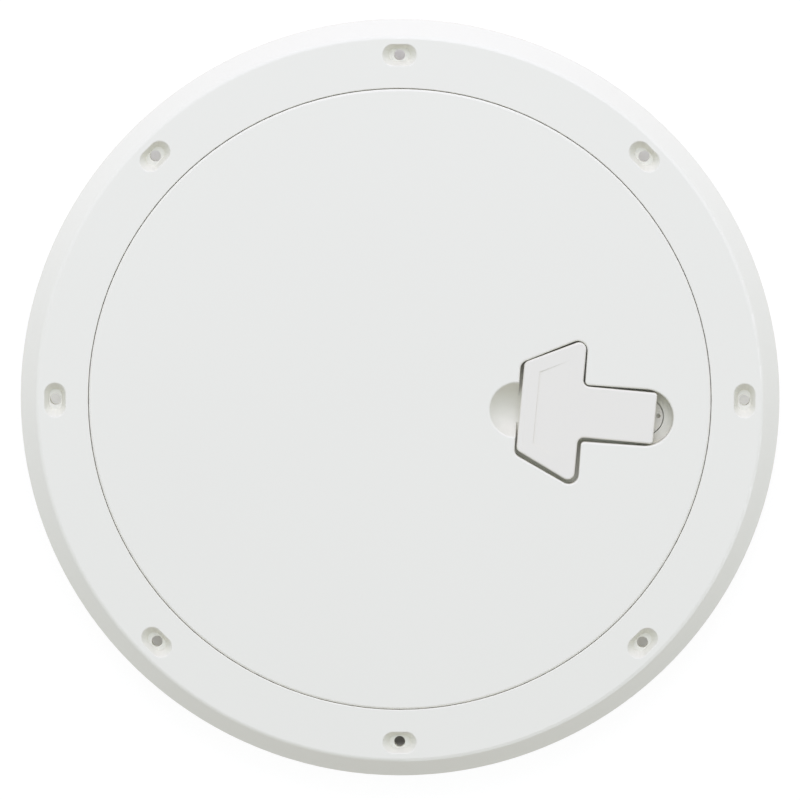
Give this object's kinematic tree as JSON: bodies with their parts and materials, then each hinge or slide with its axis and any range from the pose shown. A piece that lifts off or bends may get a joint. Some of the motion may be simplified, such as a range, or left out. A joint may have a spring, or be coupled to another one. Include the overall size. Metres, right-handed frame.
{
  "type": "deck inspection plate",
  "caption": "Round flush deck inspection plate: bevelled flange with slotted screw recesses, lift-out lid, fold-down T handle beside a finger scoop, and a cam latch below.",
  "frame": {"origin": "centre of the frame on the deck, where the flange's underside lies", "axes": "+Z out of the deck along the opening's axis, +X through a deck screw on the latch's side, +Y a quarter turn from it"},
  "size_m": [0.375, 0.375, 0.034],
  "materials": {
    "white_moulding": "satin UV-stable white moulding",
    "stainless": "plain stainless steel",
    "seal_rubber": "matt black rubber",
    "latch_nylon": "filled black nylon"
  },
  "bodies": {
    "deck_ring": {"frame": "white_moulding", "lid_seal": "seal_rubber"},
    "lid_assembly": {"lid": "white_moulding", "spindle": "white_moulding", "spindle_o_ring": "seal_rubber", "thrust_washer": "latch_nylon", "cam": "latch_nylon", "cam_washer": "stainless", "lock_washer": "stainless", "cam_screw": "stainless"},
    "fold_handle": {"handle": "white_moulding", "hinge_pin": "stainless"}
  },
  "joints": [
    {"name": "lid_tip", "type": "hinge", "parent": "deck_ring", "child": "lid_assembly", "pos_m": [-0.15333, 0.01072, 0.01], "axis": [-0.0698, -0.9976, 0], "range_deg": [0, 75]},
    {"name": "handle_fold", "type": "hinge", "parent": "lid_assembly", "child": "fold_handle", "pos_m": [0.1224, -0.00859, 0.0064], "axis": [0.0924, 0.9957, 0], "range_deg": [0, 95]}
  ]
}
